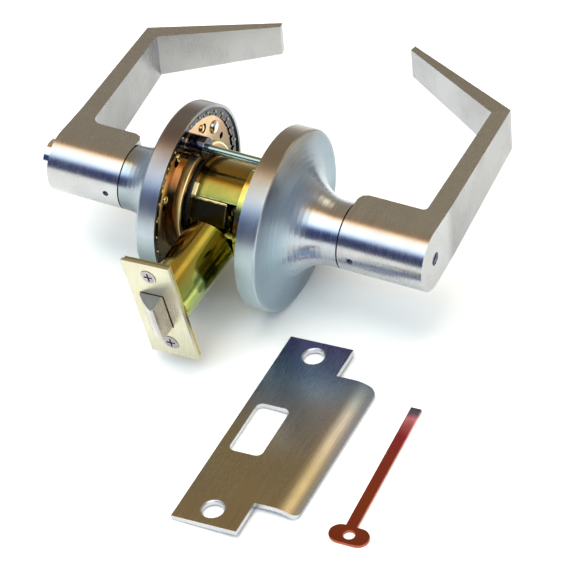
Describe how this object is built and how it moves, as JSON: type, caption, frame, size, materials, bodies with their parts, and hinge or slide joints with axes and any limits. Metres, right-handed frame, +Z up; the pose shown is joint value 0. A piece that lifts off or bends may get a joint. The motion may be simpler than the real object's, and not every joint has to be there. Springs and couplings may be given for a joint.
{
  "type": "cylindrical lever lockset",
  "caption": "Bored privacy lever lock with returned levers, round roses, spring latch, lipped strike plate and flat emergency key, laid out as a set.",
  "frame": {"origin": "centre of the laid-out set, on the surface that it rests on", "axes": "+X along the spindle axis towards the outside lever, +Y from the latch towards the lever ends, +Z up"},
  "size_m": [0.2278, 0.2816, 0.0873],
  "materials": {
    "satin_chrome": "satin",
    "lever_satin": "satin",
    "dichromate": "gloss",
    "pale_dichromate": "gloss",
    "plain_steel": "satin",
    "black_steel": "gloss",
    "zinc_steel": "gloss",
    "spring_steel": "satin",
    "bright_nickel": "gloss",
    "bright_chrome": "polished",
    "bolt_metal": "satin",
    "strike_steel": "satin",
    "copper_key": "gloss"
  },
  "bodies": {
    "lock_case": {"chassis_drum": "dichromate", "inside_hub": "plain_steel", "outside_hub": "plain_steel", "inside_mounting_plate": "pale_dichromate", "outside_mounting_plate": "pale_dichromate", "rose_retaining_ring": "black_steel", "inside_rose": "satin_chrome", "outside_rose": "satin_chrome", "through_bolts": "zinc_steel", "bolt_sleeves": "black_steel", "bolt_nuts": "zinc_steel", "inside_return_spring": "spring_steel", "outside_return_spring": "spring_steel", "retractor_springs": "spring_steel", "latch_tube": "dichromate", "latch_end_cap": "pale_dichromate", "latch_backplate": "pale_dichromate", "latch_faceplate": "bright_nickel", "faceplate_screws": "bright_chrome", "latch_spring": "spring_steel"},
    "retractor": {"retractor_slide": "plain_steel"},
    "latch_bolt": {"latch_bolt": "bolt_metal", "latch_tail": "plain_steel"},
    "inside_lever": {"inside_lever": "lever_satin", "inside_spindle": "plain_steel", "button_spring": "spring_steel"},
    "outside_lever": {"outside_lever": "lever_satin", "outside_spindle": "plain_steel"},
    "inside_catch": {"inside_catch": "black_steel"},
    "outside_catch": {"outside_catch": "black_steel"},
    "privacy_button": {"privacy_button": "bright_chrome", "button_rod": "plain_steel"},
    "emergency_release": {"emergency_turn": "plain_steel", "emergency_bar": "plain_steel"},
    "strike": {"strike_plate": "strike_steel"},
    "key": {"emergency_key": "copper_key"}
  },
  "joints": [
    {"name": "inside_lever_turn", "type": "hinge", "parent": "lock_case", "child": "inside_lever", "pos_m": [-0.07392, 0.01491, 0.04365], "axis": [1, 0, 0], "range_deg": [-50, 0], "stiffness_Nm_per_rad": 1.2, "springref_deg": 22.92},
    {"name": "outside_lever_turn", "type": "hinge", "parent": "lock_case", "child": "outside_lever", "pos_m": [0.04608, 0.01491, 0.04365], "axis": [1, 0, 0], "range_deg": [-50, 0], "stiffness_Nm_per_rad": 1.2, "springref_deg": 22.92},
    {"name": "retractor_slide_move", "type": "slide", "parent": "lock_case", "child": "retractor", "axis": [0, 1, 0], "range_m": [0, 0.0097], "deforming": ["retractor_springs"]},
    {"name": "latch_bolt_slide", "type": "slide", "parent": "lock_case", "child": "latch_bolt", "axis": [0.0469, 0.9936, 0.1028], "range_m": [0, 0.0097], "deforming": ["latch_spring"]},
    {"name": "button_push", "type": "slide", "parent": "inside_lever", "child": "privacy_button", "axis": [1, 0, 0], "range_m": [0, 0.0025], "stiffness_N_per_m": 300, "springref_m": -0.003, "deforming": ["button_spring"]},
    {"name": "emergency_turn_move", "type": "hinge", "parent": "outside_lever", "child": "emergency_release", "pos_m": [0.07608, 0.01491, 0.04365], "axis": [1, 0, 0], "range_deg": [0, 60]},
    {"name": "inside_catch_press", "type": "slide", "parent": "inside_lever", "child": "inside_catch", "axis": [0, 1, 0], "range_m": [0, 0.001], "stiffness_N_per_m": 30, "springref_m": -0.002},
    {"name": "outside_catch_press", "type": "slide", "parent": "outside_lever", "child": "outside_catch", "axis": [0, 0.9988, 0.0488], "range_m": [0, 0.001], "stiffness_N_per_m": 30, "springref_m": -0.002},
    {"name": "strike_lift", "type": "slide", "parent": "lock_case", "child": "strike", "axis": [0, 0, 1], "range_m": [0, 0.06]},
    {"name": "key_lift", "type": "slide", "parent": "lock_case", "child": "key", "axis": [0, 0, 1], "range_m": [0, 0.06]}
  ],
  "couplings": [
    {"joint": "retractor_slide_move", "follows": "inside_lever_turn", "m_per_rad": -0.010886},
    {"joint": "latch_bolt_slide", "follows": "inside_lever_turn", "m_per_rad": -0.010886}
  ]
}
